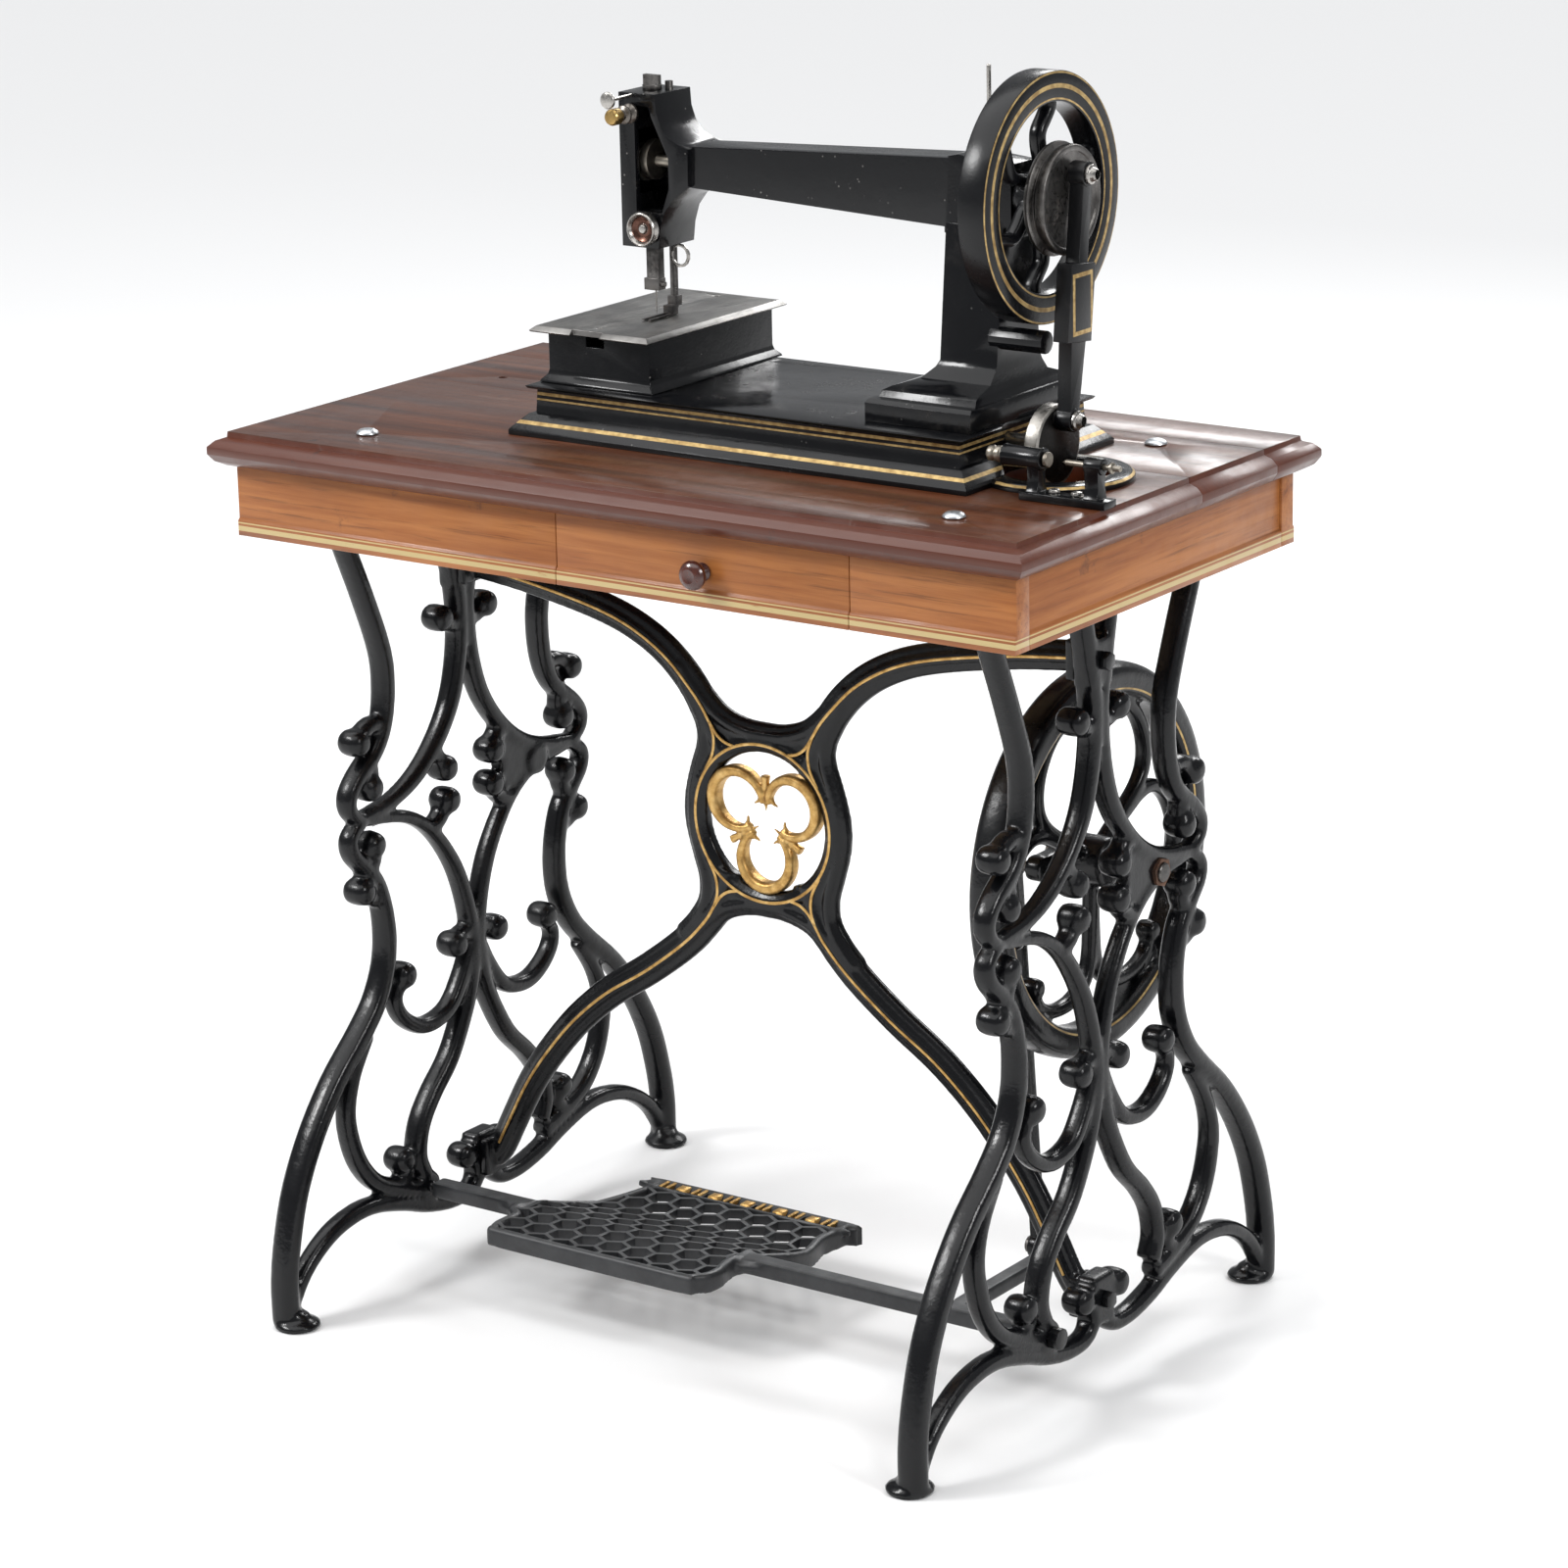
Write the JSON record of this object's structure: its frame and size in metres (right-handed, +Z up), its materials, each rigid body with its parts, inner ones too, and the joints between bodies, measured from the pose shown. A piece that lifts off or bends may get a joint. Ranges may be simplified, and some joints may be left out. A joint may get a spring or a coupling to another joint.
{
  "type": "treadle sewing table",
  "caption": "Treadle sewing table: boarded wooden top with drawer, scrolled iron stand, cross brace, rocking treadle, flywheel and an arm sewing head with side handwheel.",
  "frame": {"origin": "middle of the footprint at floor level", "axes": "+Z up, -Y towards the sitter (drawer side), +X towards the handwheel side"},
  "size_m": [0.786, 0.5602, 1.062],
  "materials": {
    "walnut_top": "worn varnish, dark walnut",
    "apron_wood": "varnished, orange brown",
    "drawer_wood": "plain inside wood",
    "knob_wood": "polished red brown",
    "frame_iron": "black japanned, glossy",
    "machine_iron": "black japanned, glossy with gilt lines",
    "gilt_iron": "gilt paint on cast iron",
    "treadle_iron": "worn black enamel",
    "dark_steel": "dark oiled steel",
    "worn_steel": "worn grey steel",
    "nickel": "worn nickel",
    "brass": "aged brass",
    "zinc": "zinc plated",
    "rusty_iron": "rust brown bolt head"
  },
  "bodies": {
    "stand": {"top_board_front": "walnut_top", "top_board_middle": "walnut_top", "top_board_rear": "walnut_top", "top_bolt_front_left": "zinc", "top_bolt_front_right": "zinc", "top_bolt_rear_right": "zinc", "apron_front_left": "apron_wood", "apron_front_right": "apron_wood", "apron_left": "apron_wood", "apron_right": "apron_wood", "apron_rear": "apron_wood", "drawer_runner_left": "drawer_wood", "drawer_runner_right": "drawer_wood", "cleat_left": "drawer_wood", "cleat_right": "drawer_wood", "left_frame": "frame_iron", "right_frame": "frame_iron", "cross_brace": "frame_iron", "brace_trefoil": "gilt_iron", "brace_bolt_left_upper": "rusty_iron", "brace_bolt_left_lower": "rusty_iron", "brace_bolt_right_upper": "rusty_iron", "brace_bolt_right_lower": "rusty_iron", "flywheel_stud": "dark_steel", "stud_nut": "rusty_iron", "treadle_pivot_left": "dark_steel", "treadle_pivot_right": "dark_steel", "machine_base": "machine_iron", "bed_block": "machine_iron", "needle_plate": "worn_steel", "machine_arm": "machine_iron", "thread_hook": "nickel", "spool_pin": "nickel", "winder_bracket": "dark_steel", "winder_screw_1": "nickel", "winder_screw_2": "nickel"},
    "drawer": {"drawer_front": "apron_wood", "drawer_tray": "drawer_wood", "drawer_knob": "knob_wood"},
    "flywheel": {"flywheel": "frame_iron"},
    "treadle": {"treadle": "treadle_iron", "pitman_foot_pin": "dark_steel"},
    "pitman": {"pitman_rod": "dark_steel", "crank_pin": "dark_steel"},
    "arm_shaft": {"arm_shaft": "dark_steel", "handwheel": "machine_iron", "crank_disc": "dark_steel", "upper_crank_nut": "nickel"},
    "connecting_rod": {"connecting_rod": "machine_iron"},
    "lower_crank": {"lower_crank": "nickel", "lower_crank_nut": "nickel"},
    "needle_bar": {"needle_bar": "dark_steel", "needle": "nickel"},
    "presser_bar": {"presser_bar": "dark_steel"},
    "cup_disc": {"cup_disc": "nickel"},
    "tension_knob": {"tension_knob": "brass"},
    "thumb_wheel": {"thumb_wheel": "nickel"},
    "top_screw": {"top_screw": "nickel"},
    "winder_spindle": {"winder_spindle": "nickel"},
    "winder_centre": {"winder_centre": "nickel"}
  },
  "joints": [
    {"name": "drawer_slide", "type": "slide", "parent": "stand", "child": "drawer", "axis": [0, -1, 0], "range_m": [0, 0.18]},
    {"name": "treadle_rock", "type": "hinge", "parent": "stand", "child": "treadle", "pos_m": [0, -0.08, 0.068], "axis": [1, 0, 0], "range_deg": [-12, 12]},
    {"name": "pitman_pivot", "type": "hinge", "parent": "treadle", "child": "pitman", "pos_m": [0.211, 0.08, 0.068], "axis": [1, 0, 0], "range_deg": [-12, 12]},
    {"name": "flywheel_turn", "type": "hinge", "parent": "stand", "child": "flywheel", "pos_m": [0.257, 0.09, 0.409], "axis": [1, 0, 0], "range_deg": [-46, 46]},
    {"name": "arm_shaft_spin", "type": "hinge", "parent": "stand", "child": "arm_shaft", "pos_m": [0.29, 0.003, 0.963], "axis": [1, 0, 0], "continuous": true},
    {"name": "rod_pivot", "type": "hinge", "parent": "arm_shaft", "child": "connecting_rod", "pos_m": [0.305, 0.003, 0.984], "axis": [1, 0, 0], "continuous": true},
    {"name": "lower_crank_spin", "type": "hinge", "parent": "stand", "child": "lower_crank", "pos_m": [0.29, -0.018, 0.7765], "axis": [1, 0, 0], "continuous": true},
    {"name": "needle_bar_slide", "type": "slide", "parent": "stand", "child": "needle_bar", "axis": [0, 0, 1], "range_m": [0, 0.024]},
    {"name": "presser_lift", "type": "slide", "parent": "stand", "child": "presser_bar", "axis": [0, 0, 1], "range_m": [0, 0.006]},
    {"name": "cup_disc_turn", "type": "hinge", "parent": "stand", "child": "cup_disc", "pos_m": [-0.0885, -0.021, 0.9125], "axis": [0, 1, 0], "continuous": true},
    {"name": "tension_knob_turn", "type": "hinge", "parent": "stand", "child": "tension_knob", "pos_m": [-0.1013, -0.021, 1.004], "axis": [0, 1, 0], "continuous": true},
    {"name": "thumb_wheel_turn", "type": "hinge", "parent": "stand", "child": "thumb_wheel", "pos_m": [-0.1013, -0.021, 1.0181], "axis": [0, 1, 0], "continuous": true},
    {"name": "top_screw_turn", "type": "hinge", "parent": "stand", "child": "top_screw", "pos_m": [-0.0985, 0.003, 1.0203], "axis": [0, 0, 1], "continuous": true},
    {"name": "winder_spindle_spin", "type": "hinge", "parent": "stand", "child": "winder_spindle", "pos_m": [0.3, -0.082, 0.781], "axis": [1, 0, 0], "continuous": true},
    {"name": "winder_centre_slide", "type": "slide", "parent": "stand", "child": "winder_centre", "axis": [-1, 0, 0], "range_m": [-0.006, 0.006]}
  ],
  "couplings": [
    {"joint": "pitman_pivot", "follows": "treadle_rock", "ratio": -1},
    {"joint": "flywheel_turn", "follows": "treadle_rock", "ratio": -3.8095},
    {"joint": "rod_pivot", "follows": "arm_shaft_spin", "ratio": -1},
    {"joint": "lower_crank_spin", "follows": "arm_shaft_spin", "ratio": 1}
  ]
}
